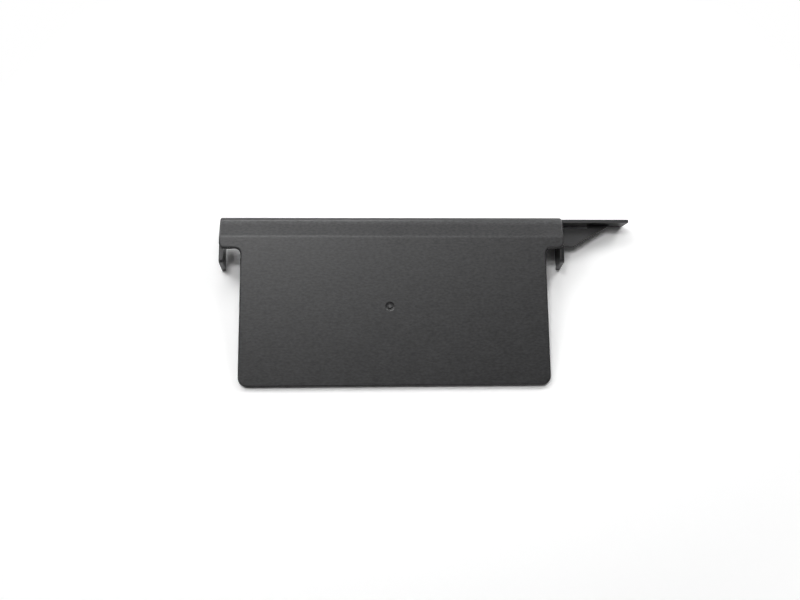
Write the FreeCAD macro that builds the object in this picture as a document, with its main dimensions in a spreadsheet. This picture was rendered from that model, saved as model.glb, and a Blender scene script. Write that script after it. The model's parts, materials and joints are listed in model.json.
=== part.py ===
"""Battery bay bezel: one thin-walled moulding of dark plastic.

A flat tongue covers the bay. Above it the face widens into two short wings and a band that leans
back to a rounded top edge, with a flange behind. A tab stands behind and below each wing, the right
one as part of a wall across the band's end. There an arm, flange and gusset, reaches out behind the
next panel.

The moulding is drawn with X across the face, Y up the face and Z out of it, the front of the tongue
in Z = 0. Its placement then lays it face up, on the tongue's lower edge and the flange's back edge.
"""
import FreeCAD, Part
import Sketcher
import os

# Driving dimensions, in millimetres and degrees.
sizes = {
    "wall": 1.7,
    "tongue_width": 155.6,
    "tongue_height": 70.0,
    "left_wing": 11.0,
    "right_wing": 9.6,
    "wing_height": 6.3,
    "band_height": 11.0,
    "band_lean": 13.0,
    "crease_radius": 5.0,
    "top_radius": 4.0,
    "flange_depth": 17.4,
    "tongue_corner": 5.0,
    "notch_corner": 3.0,
    "wing_corner": 3.0,
    "edge_round": 1.0,
    "tab_wall": 2.0,
    "tab_depth": 12.8,
    "tab_rise": 5.0,
    "tab_drop": 6.75,
    "tab_lead": 2.25,
    "tab_round": 1.6,
    "arm_length": 36.8,
    "arm_setback": 8.2,
    "arm_taper": 1.2,
    "gusset_setback": 9.6,
    "gusset_wall": 1.1,
    "gusset_height": 12.5,
    "gusset_foot": 7.5,
    "gusset_reach": 28.4,
    "gusset_corner": 2.5,
    "gusset_round": 0.3,
    "slot_length": 16.2,
    "slot_height": 2.2,
    "gate_height": 40.0,
    "gate_shift": 1.8,
    "gate_diameter": 5.0,
    "gate_depth": 0.8,
    "gate_draft": 0.9,
    "pip_diameter": 2.4,
    "pip_top_diameter": 1.6,
    "pip_height": 0.65,
}

# Places worked out from the driving dimensions.
layout = {
    "half_width": "(sizes.tongue_width + sizes.left_wing + sizes.right_wing) / 2",
    "left_end": "-half_width",
    "tongue_left": "left_end + sizes.left_wing",
    "tongue_right": "half_width - sizes.right_wing",
    "crease_y": "sizes.tongue_height + sizes.wing_height",
    "top_y": "crease_y + sizes.band_height",
    "top_z": "-sizes.band_height * tan(sizes.band_lean * 1deg)",
    "back_z": "-sizes.flange_depth",
    "flange_under": "top_y - sizes.wall",
    "inner_z": "-sizes.wall",
    "inner_crease_y": "crease_y - sizes.wall * tan(sizes.band_lean * 0.5deg)",
    "inner_top_z": "-(flange_under - inner_crease_y) * tan(sizes.band_lean * 1deg) - sizes.wall",
    "tab_back_z": "-sizes.tab_depth",
    "tab_top_y": "sizes.tongue_height + sizes.tab_rise",
    "tab_front_y": "sizes.tongue_height - sizes.tab_drop",
    "tab_tip_y": "tab_front_y - sizes.tab_lead",
    "right_wall_x": "half_width - sizes.tab_wall",
    "arm_root": "half_width - sizes.tab_wall / 2",
    "arm_end": "half_width + sizes.arm_length",
    "arm_front_z": "-sizes.arm_setback",
    "arm_back_end": "arm_end - sizes.arm_taper",
    "gusset_z": "-sizes.gusset_setback",
    "gusset_back_z": "gusset_z - sizes.gusset_wall",
    "gusset_top_z": "gusset_z - sizes.gusset_height * tan(sizes.band_lean * 1deg)",
    "gusset_top_back_z": "gusset_top_z - sizes.gusset_wall",
    "gusset_bottom": "flange_under - sizes.gusset_height",
    "gusset_foot_x": "half_width + sizes.gusset_foot",
    "gusset_top_x": "half_width + sizes.gusset_reach",
    "slot_end": "half_width + sizes.slot_length",
    "slot_bottom": "flange_under - sizes.slot_height",
    "gate_x": "-sizes.gate_shift",
    "gate_rim_y": "sizes.gate_height + sizes.gate_diameter / 2",
    "gate_floor_y": "gate_rim_y - sizes.gate_draft",
    "gate_floor_z": "-sizes.gate_depth",
    "pip_base_y": "sizes.gate_height + sizes.pip_diameter / 2",
    "pip_top_y": "sizes.gate_height + sizes.pip_top_diameter / 2",
    "pip_top_z": "-sizes.gate_depth + sizes.pip_height",
    "rest_angle": "atan((sizes.flange_depth - sizes.wall) / flange_under) / 1deg",
    "rest_x": "-sizes.arm_length / 2",
    "front_y": "sizes.edge_round * (cos(rest_angle * 1deg) + sin(rest_angle * 1deg) - 1)",
    "rear_y": "top_y * cos(rest_angle * 1deg) + sizes.flange_depth * sin(rest_angle * 1deg)",
    "rest_y": "-(front_y + rear_y) / 2",
    "rest_z": "sizes.wall * cos(rest_angle * 1deg)",
}

# A coordinate or a length counts as equal below this.
nearness = 1e-4

doc = FreeCAD.newDocument("battery_bay_bezel")


def fill_sheet(name, cells):
    """A sheet with one row for each value: its name, its cell and the cell's alias."""
    sheet = doc.addObject("Spreadsheet::Sheet", name)
    for row, (alias, content) in enumerate(cells.items(), start=1):
        sheet.set(f"A{row}", alias)
        sheet.set(f"B{row}", content)
        sheet.setAlias(f"B{row}", alias)
    doc.recompute()


fill_sheet("sizes", {alias: str(value) for alias, value in sizes.items()})
fill_sheet("layout", {alias: f"={formula}" for alias, formula in layout.items()})


def number(reference):
    """The present value of a reference such as sizes.wall."""
    sheet_name, alias = reference.split(".")
    return float(doc.getObject(sheet_name).get(alias))


def add_sketch(body, name, role, offset=None):
    """A sketch on one of the body's planes, moved along that plane's normal by an expression."""
    sketch = body.newObject("Sketcher::SketchObject", name)
    plane = next(feature for feature in body.Origin.OriginFeatures if feature.Role == role)
    sketch.AttachmentSupport = (plane, "")
    sketch.MapMode = "FlatFace"
    if offset:
        sketch.setExpression("AttachmentOffset.Base.z", offset)
    return sketch


def pin(sketch, edge, end, direction, reference):
    """Holds one end of an edge at a coordinate, or on the axis where no coordinate is given."""
    origin = (-1, 1)
    axis = {"DistanceX": -2, "DistanceY": -1}[direction]
    if reference is None:
        sketch.addConstraint(Sketcher.Constraint("PointOnObject", edge, end, axis))
        return
    value = number(reference)
    if value < 0:
        index = sketch.addConstraint(Sketcher.Constraint(direction, edge, end, *origin, -value))
        sketch.setExpression(f"Constraints[{index}]", f"-{reference}")
    else:
        index = sketch.addConstraint(Sketcher.Constraint(direction, *origin, edge, end, value))
        sketch.setExpression(f"Constraints[{index}]", reference)


def add_outline(sketch, corners):
    """A closed outline of straight edges, each corner held by its two coordinates."""
    places = [FreeCAD.Vector(*(number(ref) if ref else 0 for ref in corner), 0) for corner in corners]
    ends = places[1:] + places[:1]
    edges = [sketch.addGeometry(Part.LineSegment(*pair), False) for pair in zip(places, ends)]
    for edge, following in zip(edges, edges[1:] + edges[:1]):
        sketch.addConstraint(Sketcher.Constraint("Coincident", edge, 2, following, 1))
    for edge, (across, up) in zip(edges, corners):
        pin(sketch, edge, 1, "DistanceX", across)
        pin(sketch, edge, 1, "DistanceY", up)


def add_pad(body, name, sketch, length, midplane=False):
    pad = body.newObject("PartDesign::Pad", name)
    pad.Profile = sketch
    pad.Midplane = midplane
    pad.setExpression("Length", length)
    doc.recompute()


def check_cut(cut, base):
    """A cut has to take material away."""
    if cut.Shape.Volume > base.Shape.Volume - nearness:
        raise RuntimeError(f"{cut.Name} removes nothing")


def add_through_cut(body, name, sketch):
    base = body.Tip
    pocket = body.newObject("PartDesign::Pocket", name)
    pocket.Profile = sketch
    pocket.Type = "ThroughAll"
    doc.recompute()
    check_cut(pocket, base)


def add_fillet(body, name, radius, places, along):
    """Rounds the edges that run along one axis through the given places across it."""
    base = body.Tip
    across = [axis for axis in "xyz" if axis != along]
    found = []
    for place in places:
        for index, edge in enumerate(base.Shape.Edges, start=1):
            ends = [vertex.Point for vertex in edge.Vertexes]
            if all(abs(getattr(end, axis) - place[axis]) < nearness for end in ends for axis in across):
                found.append(f"Edge{index}")
    if len(found) < len(places):
        raise RuntimeError(f"{name} finds {len(found)} of {len(places)} edges")
    fillet = body.newObject("PartDesign::Fillet", name)
    fillet.Base = (base, found)
    fillet.setExpression("Radius", radius)
    doc.recompute()


def make_face(body):
    """The folded section carried across the whole width: tongue, crease, band, rounded top, flange."""
    section = add_sketch(body, "face_section", "YZ_Plane")
    add_outline(section, [
        (None, None),
        ("layout.crease_y", None),
        ("layout.top_y", "layout.top_z"),
        ("layout.top_y", "layout.back_z"),
        ("layout.flange_under", "layout.back_z"),
        ("layout.flange_under", "layout.inner_top_z"),
        ("layout.inner_crease_y", "layout.inner_z"),
        (None, "layout.inner_z"),
    ])
    add_pad(body, "face", section, "2 * layout.half_width", midplane=True)
    crease = {"y": number("layout.crease_y"), "z": 0}
    inner_crease = {"y": number("layout.inner_crease_y"), "z": number("layout.inner_z")}
    top = {"y": number("layout.top_y"), "z": number("layout.top_z")}
    inner_top = {"y": number("layout.flange_under"), "z": number("layout.inner_top_z")}
    add_fillet(body, "crease_bend", "sizes.crease_radius", [crease], "x")
    add_fillet(body, "crease_bend_inside", "sizes.crease_radius - sizes.wall", [inner_crease], "x")
    add_fillet(body, "top_edge", "sizes.top_radius", [top], "x")
    add_fillet(body, "top_edge_inside", "sizes.top_radius - sizes.wall", [inner_top], "x")


def cut_sides(body):
    """The face is cut back below each wing, which leaves the narrower tongue, and its corners rounded."""
    sides = (("left", "left_end", "tongue_left"), ("right", "half_width", "tongue_right"))
    for side, edge_x, tongue_x in sides:
        outline = add_sketch(body, f"{side}_side", "XY_Plane")
        add_outline(outline, [
            (f"layout.{edge_x}", None),
            (f"layout.{tongue_x}", None),
            (f"layout.{tongue_x}", "sizes.tongue_height"),
            (f"layout.{edge_x}", "sizes.tongue_height"),
        ])
        add_through_cut(body, f"{side}_cut", outline)
    tongue_sides = [number("layout.tongue_left"), number("layout.tongue_right")]
    face_ends = [number("layout.left_end"), number("layout.half_width")]
    wing_y = number("sizes.tongue_height")
    lower_corners = [{"x": x, "y": 0} for x in tongue_sides]
    notches = [{"x": x, "y": wing_y} for x in tongue_sides]
    wing_tips = [{"x": x, "y": wing_y} for x in face_ends]
    add_fillet(body, "tongue_corners", "sizes.tongue_corner", lower_corners, "z")
    add_fillet(body, "notch_corners", "sizes.notch_corner", notches, "z")
    add_fillet(body, "wing_corners", "sizes.wing_corner", wing_tips, "z")
    add_fillet(body, "front_rim", "sizes.edge_round", [{"y": 0, "z": 0}], "x")


def add_tabs(body):
    """A tab with a sloped tip behind each wing, which at the right runs on up as the band's end wall."""
    front_and_tip = [
        ("layout.tab_front_y", "layout.inner_z"),
        ("layout.tab_tip_y", "layout.tab_back_z"),
    ]
    tab = add_sketch(body, "left_tab_outline", "YZ_Plane", "layout.left_end")
    add_outline(tab, [
        ("layout.tab_top_y", "layout.tab_back_z"),
        ("layout.tab_top_y", "layout.inner_z"),
        *front_and_tip,
    ])
    add_pad(body, "left_tab", tab, "sizes.tab_wall")
    wall = add_sketch(body, "right_wall_outline", "YZ_Plane", "layout.right_wall_x")
    add_outline(wall, [
        ("layout.flange_under", "layout.tab_back_z"),
        ("layout.flange_under", "layout.inner_top_z"),
        ("layout.inner_crease_y", "layout.inner_z"),
        *front_and_tip,
    ])
    add_pad(body, "right_wall", wall, "sizes.tab_wall")
    toe = {"y": number("layout.tab_front_y"), "z": number("layout.inner_z")}
    add_fillet(body, "tab_toes", "sizes.tab_round", [toe], "x")


def add_arm(body):
    """The arm at the right: the flange carried on, set back, over a gusset that leans like the band."""
    plan = add_sketch(body, "arm_plan", "XZ_Plane", "-layout.top_y")
    add_outline(plan, [
        ("layout.arm_root", "layout.arm_front_z"),
        ("layout.arm_end", "layout.arm_front_z"),
        ("layout.arm_back_end", "layout.back_z"),
        ("layout.arm_root", "layout.back_z"),
    ])
    add_pad(body, "arm_flange", plan, "sizes.wall")
    section = add_sketch(body, "gusset_section", "YZ_Plane", "layout.arm_root")
    add_outline(section, [
        ("layout.gusset_bottom", "layout.gusset_z"),
        ("layout.flange_under", "layout.gusset_top_z"),
        ("layout.flange_under", "layout.gusset_top_back_z"),
        ("layout.gusset_bottom", "layout.gusset_back_z"),
    ])
    add_pad(body, "arm_gusset", section, "layout.gusset_top_x - layout.arm_root")
    slope = add_sketch(body, "gusset_slope", "XY_Plane")
    add_outline(slope, [
        ("layout.gusset_foot_x", "layout.gusset_bottom"),
        ("layout.gusset_top_x", "layout.gusset_bottom"),
        ("layout.gusset_top_x", "layout.flange_under"),
    ])
    add_through_cut(body, "gusset_cut", slope)
    corner = {"x": number("layout.gusset_foot_x"), "y": number("layout.gusset_bottom")}
    add_fillet(body, "gusset_corner", "sizes.gusset_corner", [corner], "z")
    window = add_sketch(body, "slot_outline", "XY_Plane")
    add_outline(window, [
        ("layout.half_width", "layout.slot_bottom"),
        ("layout.slot_end", "layout.slot_bottom"),
        ("layout.slot_end", "layout.flange_under"),
        ("layout.half_width", "layout.flange_under"),
    ])
    add_through_cut(body, "arm_slot", window)
    rim = {"y": number("layout.gusset_bottom"), "z": number("layout.gusset_z")}
    add_fillet(body, "gusset_rim", "sizes.gusset_round", [rim], "x")


def sink_gate(body):
    """The round recess near the middle of the tongue, with the trimmed pip of the moulding gate in it."""
    base = body.Tip
    profile = add_sketch(body, "gate_profile", "YZ_Plane", "layout.gate_x")
    add_outline(profile, [
        ("sizes.gate_height", None),
        ("layout.gate_rim_y", None),
        ("layout.gate_floor_y", "layout.gate_floor_z"),
        ("layout.pip_base_y", "layout.gate_floor_z"),
        ("layout.pip_top_y", "layout.pip_top_z"),
        ("sizes.gate_height", "layout.pip_top_z"),
    ])
    groove = body.newObject("PartDesign::Groove", "gate_recess")
    groove.Profile = profile
    closing_edge = profile.GeometryCount
    groove.ReferenceAxis = (profile, [f"Edge{closing_edge}"])
    groove.Angle = 360
    doc.recompute()
    check_cut(groove, base)


def lay_down(body):
    """Lies face up as it comes to rest, with the middle of its box over the origin."""
    body.Placement = FreeCAD.Placement(
        FreeCAD.Vector(*(number(f"layout.rest_{axis}") for axis in "xyz")),
        FreeCAD.Rotation(FreeCAD.Vector(1, 0, 0), number("layout.rest_angle")),
    )
    doc.recompute()


bezel = doc.addObject("PartDesign::Body", "bay_bezel")
bezel.Label = "bay_bezel"
make_face(bezel)
cut_sides(bezel)
add_tabs(bezel)
add_arm(bezel)
sink_gate(bezel)
lay_down(bezel)

failed = [item.Name for item in doc.Objects if {"Invalid", "Error"} & set(item.State)]
if failed:
    raise RuntimeError(f"features that failed: {failed}")
if bezel.Shape.isNull() or not bezel.Shape.isValid() or len(bezel.Shape.Solids) != 1:
    raise RuntimeError("the bezel isn't one sound solid")

os.makedirs("parts", exist_ok=True)
bezel.Shape.exportStep(f"parts/{bezel.Label}.step")
box = bezel.Shape.optimalBoundingBox()
print(f"{bezel.Label}: {box.XLength:.1f} x {box.YLength:.1f} x {box.ZLength:.1f} mm, "
      f"{bezel.Shape.Volume:.0f} cubic mm, lies at {number('layout.rest_angle'):.2f} degrees")
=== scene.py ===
import json
import math
import bmesh
import bpy
import numpy as np
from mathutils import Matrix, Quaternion, Vector


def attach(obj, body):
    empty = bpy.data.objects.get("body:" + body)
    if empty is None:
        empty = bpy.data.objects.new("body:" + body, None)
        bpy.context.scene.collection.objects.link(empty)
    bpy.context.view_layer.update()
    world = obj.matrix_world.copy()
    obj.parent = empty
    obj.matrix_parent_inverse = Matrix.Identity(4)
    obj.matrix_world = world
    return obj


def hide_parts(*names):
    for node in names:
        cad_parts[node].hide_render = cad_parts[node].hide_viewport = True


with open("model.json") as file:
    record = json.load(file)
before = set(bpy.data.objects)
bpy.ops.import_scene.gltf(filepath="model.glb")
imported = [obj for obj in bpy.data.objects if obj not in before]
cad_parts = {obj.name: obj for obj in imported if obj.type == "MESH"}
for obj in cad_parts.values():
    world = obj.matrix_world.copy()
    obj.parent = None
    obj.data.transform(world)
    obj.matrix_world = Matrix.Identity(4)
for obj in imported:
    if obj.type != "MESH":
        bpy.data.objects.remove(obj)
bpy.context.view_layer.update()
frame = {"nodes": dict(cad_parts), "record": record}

mm = 0.001


# the moulding's own directions, because it lies tilted on its tongue and its flange
mounts = {mount["name"]: mount for mount in frame["record"]["mounts"]}
topFlange = mounts["top_flange"]
acrossFace = Vector((1, 0, 0))
upFace = Vector(topFlange["axis"])
outOfFace = acrossFace.cross(upFace)

# the band's middle and the top of the face, measured in those directions
bandMiddle = acrossFace.dot(Vector(topFlange["pos_m"]))
faceTop = upFace.dot(Vector(topFlange["pos_m"]))


# the bezel itself

bezelShape = {
    "node": "bay_bezel",
    "name": "bezelMoulding",
    "weld": 0.002 * mm,         # corners nearer than this are one
    "flat": 0.5,                # degrees, triangles within this lie in one face
    "hardEdge": 35,             # degrees, a sharper turn stays a hard edge
    "flatLead": 100,            # how far the large faces lead where shading is smoothed
    "showTurn": 80,             # degrees off the face's front that still carry the grain
    "showDepth": 6.5 * mm,      # how far behind the tongue's front the grain goes
    "gateBelowTop": 47.3 * mm,
    "gateAside": -1.8 * mm,     # from the band's middle
    "pipReach": 1.0 * mm,       # faces this near to the gate's middle
    "pipDepth": 0.35 * mm,      # and no deeper than this are the trimmed pip
}

finishNumber = {"grained": 0, "plain": 1, "trimmed": 2}     # the moulding's material slots, in order


def weldedCopy(settings):
    # the node's loose triangles with equal corners joined and flat neighbours made one face
    mesh = bpy.data.meshes.new(settings["name"])
    shell = bmesh.new()
    shell.from_mesh(frame["nodes"][settings["node"]].data)
    bmesh.ops.remove_doubles(shell, verts=shell.verts, dist=settings["weld"])
    bmesh.ops.dissolve_limit(
        shell, angle_limit=math.radians(settings["flat"]), verts=shell.verts, edges=shell.edges)
    shell.to_mesh(mesh)
    shell.free()
    mesh.materials.clear()
    mesh.polygons.foreach_set("use_smooth", np.ones(len(mesh.polygons), bool))
    mesh.set_sharp_from_angle(angle=math.radians(settings["hardEdge"]))
    piece = bpy.data.objects.new(settings["name"], mesh)
    bpy.context.scene.collection.objects.link(piece)
    return piece


def finishOfFaces(mesh, settings):
    # the grain goes where a face turns to the front or over the top edge and isn't deep behind the front
    count = len(mesh.polygons)
    centres = np.empty(count * 3)
    normals = np.empty(count * 3)
    areas = np.empty(count)
    mesh.polygons.foreach_get("center", centres)
    mesh.polygons.foreach_get("normal", normals)
    mesh.polygons.foreach_get("area", areas)
    ownDirections = np.array([acrossFace, upFace, outOfFace]).T
    across, up, out = (centres.reshape(count, 3) @ ownDirections).T
    turn = normals.reshape(count, 3) @ np.array(outOfFace)
    tongueFront = out[np.argmax(np.where(turn > 0, areas, 0))]  # where the largest face to the front lies
    depth = tongueFront - out
    gateAcross = bandMiddle + settings["gateAside"]
    gateUp = faceTop - settings["gateBelowTop"]
    fromGate = np.hypot(across - gateAcross, up - gateUp)
    grained = (turn > math.cos(math.radians(settings["showTurn"]))) & (depth < settings["showDepth"])
    trimmed = (fromGate < settings["pipReach"]) & (abs(depth) < settings["pipDepth"])
    numbers = np.full(count, finishNumber["plain"], np.int32)
    numbers[grained] = finishNumber["grained"]
    numbers[trimmed] = finishNumber["trimmed"]
    return numbers


def makeBezel(settings, finishes):
    piece = weldedCopy(settings)
    mesh = piece.data
    for name in finishNumber:
        mesh.materials.append(finishes[name])
    numbers = finishOfFaces(mesh, settings)
    mesh.polygons.foreach_set("material_index", numbers)
    weights = piece.modifiers.new("flatFacesLead", "WEIGHTED_NORMAL")
    weights.mode = "FACE_AREA"
    weights.weight = settings["flatLead"]
    weights.keep_sharp = True
    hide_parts(settings["node"])
    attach(piece, "root")
    print("bezel:", {name: int((numbers == number).sum()) for name, number in finishNumber.items()}, "faces")
    return piece


# steps that the materials share

nodeSpacing = 220   # between one node and the next in the editor


def addNode(tree, kind, **inputs):
    node = tree.nodes.new(kind)
    node.location = (nodeSpacing * len(tree.nodes), 0)
    for name, value in inputs.items():
        node.inputs[name].default_value = value
    return node


def workOut(tree, operation, first, second=None):
    # the second value is another node's output, a plain number or nothing
    node = addNode(tree, "ShaderNodeMath")
    node.operation = operation
    tree.links.new(first, node.inputs[0])
    if isinstance(second, bpy.types.NodeSocket):
        tree.links.new(second, node.inputs[1])
    elif second is not None:
        node.inputs[1].default_value = second
    return node.outputs["Value"]


def spreadOver(tree, source, fromSpan, toSpan, curve="LINEAR"):
    # turns one span of values into another
    ends = dict(zip(("From Min", "From Max", "To Min", "To Max"), (*fromSpan, *toSpan)))
    node = addNode(tree, "ShaderNodeMapRange", **ends)
    node.interpolation_type = curve
    tree.links.new(source, node.inputs["Value"])
    return node.outputs["Result"]


# finishes of the moulded plastic

grainedFinish = {
    "name": "grainedPlastic",
    "colour": (0.034, 0.034, 0.035),
    "speckle": 0.32,          # share by which single grains are lighter or darker
    "mottle": 0.05,           # share by which broad patches are
    "roughness": (0.345, 0.375),
    "grainSize": 0.85 * mm,
    "stretch": 2.0,           # how much longer the grains are across the face
    "mottleSize": 9 * mm,
    "bump": 0.40,
    "bumpDepth": 0.05 * mm,
    "specular": 0.5,
    # painted highlights: the colour is lifted along the crease and the top edge, where their rounded folds
    # catch light
    "paintedHighlights": [          # along the crease and the top edge, as bright as the photo shows them
        {"belowTop": 11.35 * mm, "half": 1.2 * mm, "lift": 0.45},
        {"belowTop": 3.35 * mm, "half": 1.9 * mm, "lift": 0.60},
    ],
}

plainFinish = {
    "name": "plainPlastic",
    "colour": (0.038, 0.038, 0.039),
    "speckle": 0.05,
    "mottle": 0.05,
    "roughness": (0.28, 0.34),
    "grainSize": 0.9 * mm,
    "stretch": 1.0,
    "mottleSize": 9 * mm,
    "bump": 0.10,
    "bumpDepth": 0.03 * mm,
    "specular": 0.5,
    "paintedHighlights": [],
}

# the trimmed pip is paler and rougher than the rest of the moulding
trimmedFinish = {
    "name": "trimmedPlastic",
    "colour": (0.085, 0.085, 0.086),
    "speckle": 0.25,
    "mottle": 0.05,
    "roughness": (0.50, 0.60),
    "grainSize": 0.3 * mm,
    "stretch": 1.0,
    "mottleSize": 2 * mm,
    "bump": 0.50,
    "bumpDepth": 0.05 * mm,
    "specular": 0.5,
    "paintedHighlights": [],
}

noiseLook = {
    "span": (0.3, 0.7),       # a noise lies mostly between these
    "grain": {"Detail": 2.0, "Roughness": 0.55},
    "mottle": {"Detail": 3.0, "Roughness": 0.5},
}


def addNoise(tree, place, size, look):
    node = addNode(tree, "ShaderNodeTexNoise", Scale=1 / size, **look)
    tree.links.new(place, node.inputs["Vector"])
    return node.outputs["Fac"]


def addPaintedHighlight(tree, place, share, settings):
    # paints a highlight: lifts the colour in a soft stripe across the face
    up = addNode(tree, "ShaderNodeVectorMath")
    up.operation = "DOT_PRODUCT"
    up.inputs[1].default_value = upFace
    tree.links.new(place, up.inputs[0])
    offset = workOut(tree, "SUBTRACT", up.outputs["Value"], faceTop - settings["belowTop"])
    distance = workOut(tree, "ABSOLUTE", offset)
    lift = spreadOver(tree, distance, (0, settings["half"]), (1 + settings["lift"], 1), "SMOOTHSTEP")
    return workOut(tree, "MULTIPLY", lift, share)


def mouldedPlastic(settings):
    # dark plastic: one noise makes the fine grains and another the broad patches, on Object coordinates
    material = bpy.data.materials.new(settings["name"])
    material.use_nodes = True
    tree = material.node_tree
    shader = tree.nodes["Principled BSDF"]
    shader.inputs["Specular IOR Level"].default_value = settings["specular"]
    place = addNode(tree, "ShaderNodeTexCoord").outputs["Object"]
    stretched = addNode(tree, "ShaderNodeMapping", Scale=(1 / settings["stretch"], 1, 1))
    tree.links.new(place, stretched.inputs["Vector"])
    grain = addNoise(tree, stretched.outputs["Vector"], settings["grainSize"], noiseLook["grain"])
    mottle = addNoise(tree, place, settings["mottleSize"], noiseLook["mottle"])

    grains = spreadOver(tree, grain, noiseLook["span"], (1 - settings["speckle"], 1 + settings["speckle"]))
    patches = spreadOver(tree, mottle, noiseLook["span"], (1 - settings["mottle"], 1 + settings["mottle"]))
    share = workOut(tree, "MULTIPLY", grains, patches)
    # painted highlights along the crease and the top edge
    for stripe in settings["paintedHighlights"]:
        share = addPaintedHighlight(tree, place, share, stripe)
    tint = addNode(tree, "ShaderNodeVectorMath")
    tint.operation = "SCALE"
    tint.inputs[0].default_value = settings["colour"]
    tree.links.new(share, tint.inputs["Scale"])
    tree.links.new(tint.outputs["Vector"], shader.inputs["Base Color"])
    roughness = spreadOver(tree, mottle, noiseLook["span"], settings["roughness"])
    tree.links.new(roughness, shader.inputs["Roughness"])

    bump = addNode(tree, "ShaderNodeBump", Strength=settings["bump"], Distance=settings["bumpDepth"])
    tree.links.new(grain, bump.inputs["Height"])
    tree.links.new(bump.outputs["Normal"], shader.inputs["Normal"])
    print("finish:", settings["name"])
    return material


# floor, light and camera

floorSettings = {
    "half": 3.0,            # from the middle to each side
    "lines": 3,             # grid lines each way
    "lit": 0.82,            # colour that lights the bezel from below
    "shown": 1.16,          # colour that the camera sees
    "below": 0.02 * mm,
    "fade": (0.16, 0.27),   # distances from the bezel over which the shown floor turns plain white
}


def seenDirectly(tree):
    # 1 for rays from the camera and for those that gloss or glass sends on
    rays = addNode(tree, "ShaderNodeLightPath").outputs
    cameraOrGloss = workOut(tree, "MAXIMUM", rays["Is Camera Ray"], rays["Is Glossy Ray"])
    return workOut(tree, "MAXIMUM", cameraOrGloss, rays["Is Transmission Ray"])


def paleFloor(settings):
    # keeps the shadow near the bezel and looks plain white away from it
    material = bpy.data.materials.new("paleFloor")
    material.use_nodes = True
    tree = material.node_tree
    tree.nodes.clear()
    seen = seenDirectly(tree)
    diffuse = addNode(tree, "ShaderNodeBsdfDiffuse")
    tone = spreadOver(tree, seen, (0, 1), (settings["lit"], settings["shown"]))
    tree.links.new(tone, diffuse.inputs["Color"])

    place = addNode(tree, "ShaderNodeTexCoord").outputs["Object"]
    away = addNode(tree, "ShaderNodeVectorMath")
    away.operation = "LENGTH"
    tree.links.new(place, away.inputs[0])
    fade = spreadOver(tree, away.outputs["Value"], settings["fade"], (0, 1), "SMOOTHSTEP")
    white = addNode(tree, "ShaderNodeEmission")
    mix = addNode(tree, "ShaderNodeMixShader")
    tree.links.new(workOut(tree, "MULTIPLY", fade, seen), mix.inputs["Fac"])
    tree.links.new(diffuse.outputs["BSDF"], mix.inputs[1])
    tree.links.new(white.outputs["Emission"], mix.inputs[2])
    result = addNode(tree, "ShaderNodeOutputMaterial")
    tree.links.new(mix.outputs["Shader"], result.inputs["Surface"])
    return material


def layFloor(settings):
    # a flat sheet on a grid of two parameters
    steps = np.linspace(-settings["half"], settings["half"], settings["lines"])
    across, along = np.meshgrid(steps, steps)
    corners = np.stack([across, along, np.full_like(across, -settings["below"])], axis=-1).reshape(-1, 3)
    number = np.arange(corners.shape[0]).reshape(across.shape)
    faces = np.stack([number[:-1, :-1], number[:-1, 1:], number[1:, 1:], number[1:, :-1]], axis=-1)
    mesh = bpy.data.meshes.new("floor")
    mesh.from_pydata(corners, [], faces.reshape(-1, 4))
    mesh.materials.append(paleFloor(settings))
    floor = bpy.data.objects.new("floor", mesh)
    bpy.context.scene.collection.objects.link(floor)
    print("floor laid")


roomLight = {
    "colour": (1, 1, 1, 1),
    "fill": 0.02,       # light from all round
    "shown": 1.0,       # what the camera alone sees beyond the floor, so that it adds no light
}

# all of them point at the bezel
softBoxes = [
    {"name": "overheadBox", "place": (-0.06, 0.22, 1.13), "size": (1.00, 0.50), "power": 3.0},
    {"name": "keyBoxLeft", "place": (-0.355, 0.302, 1.051), "size": (0.14, 0.10), "power": 1.3},
    {"name": "keyBoxRight", "place": (-0.200, 0.312, 1.089), "size": (0.14, 0.10), "power": 0.75},
    {"name": "leftBackBox", "place": (-0.74, 0.63, 0.61), "size": (0.70, 0.60), "power": 7.0},
    {"name": "rightBackBox", "place": (0.66, 0.82, 0.47), "size": (0.50, 0.45), "power": 7.1},
    {"name": "backBox", "place": (-0.12, 0.95, 0.64), "size": (0.50, 0.40), "power": 3.7},
    {"name": "frontBox", "place": (0.35, -1.00, 0.45), "size": (0.90, 0.50), "power": 1.0},
]


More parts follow.
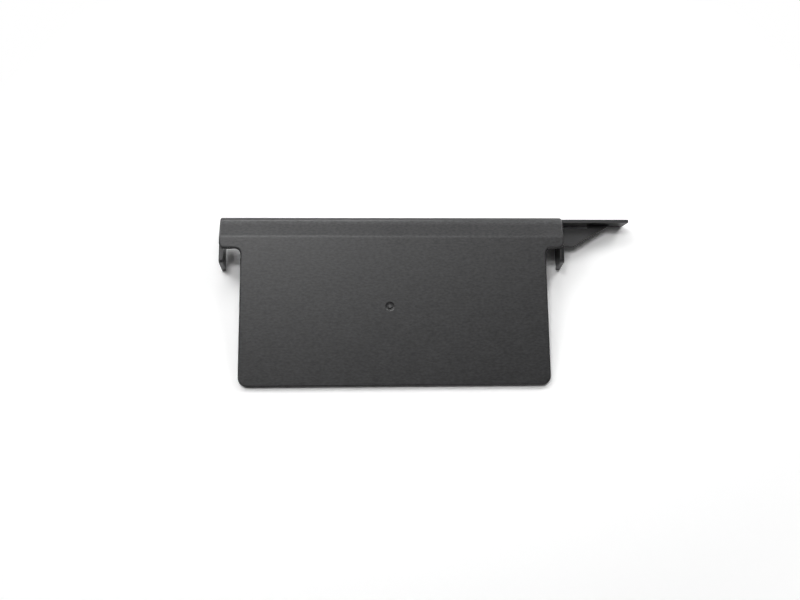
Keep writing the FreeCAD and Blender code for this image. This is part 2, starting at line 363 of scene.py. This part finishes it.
def lightRoom(settings):
    world = bpy.data.worlds.new("room")
    bpy.context.scene.world = world
    world.use_nodes = True
    tree = world.node_tree
    background = tree.nodes["Background"]
    background.inputs["Color"].default_value = settings["colour"]
    rays = addNode(tree, "ShaderNodeLightPath").outputs
    tone = spreadOver(tree, rays["Is Camera Ray"], (0, 1), (settings["fill"], settings["shown"]))
    tree.links.new(tone, background.inputs["Strength"])
    print("room lit")


def hangSoftBox(settings):
    lamp = bpy.data.lights.new(settings["name"], "AREA")
    lamp.shape = "RECTANGLE"
    lamp.size, lamp.size_y = settings["size"]
    lamp.energy = settings["power"]
    box = bpy.data.objects.new(settings["name"], lamp)
    box.location = settings["place"]
    box.rotation_mode = "QUATERNION"
    box.rotation_quaternion = (-box.location).to_track_quat("-Z", "Y")
    bpy.context.scene.collection.objects.link(box)
    print("soft box:", settings["name"])


photoCamera = {
    "name": "photoCamera",
    "lens": 36.0,       # on a sensor as wide
    "sensor": 36.0,
    "place": (-0.033487, -0.139356, 0.387249),
    "aim": (-0.015101, -0.001541, 0.008000),
    "roll": 6.955,      # degrees, turns the camera's right side up
    "near": 0.01,
    "far": 20.0,
}


def setCamera(settings):
    camera = bpy.data.cameras.new(settings["name"])
    camera.lens = settings["lens"]
    camera.sensor_width = settings["sensor"]
    camera.clip_start = settings["near"]
    camera.clip_end = settings["far"]
    holder = bpy.data.objects.new(settings["name"], camera)
    bpy.context.scene.collection.objects.link(holder)
    holder.location = settings["place"]
    way = Vector(settings["aim"]) - holder.location
    level = way.to_track_quat("-Z", "Y")
    holder.rotation_mode = "QUATERNION"
    holder.rotation_quaternion = level @ Quaternion((0, 0, 1), math.radians(settings["roll"]))
    bpy.context.scene.camera = holder
    print("camera set")


bpy.context.scene.view_settings.view_transform = "Standard"
makeBezel(bezelShape, {
    "grained": mouldedPlastic(grainedFinish),
    "plain": mouldedPlastic(plainFinish),
    "trimmed": mouldedPlastic(trimmedFinish),
})
layFloor(floorSettings)
lightRoom(roomLight)
for softBox in softBoxes:
    hangSoftBox(softBox)
setCamera(photoCamera)
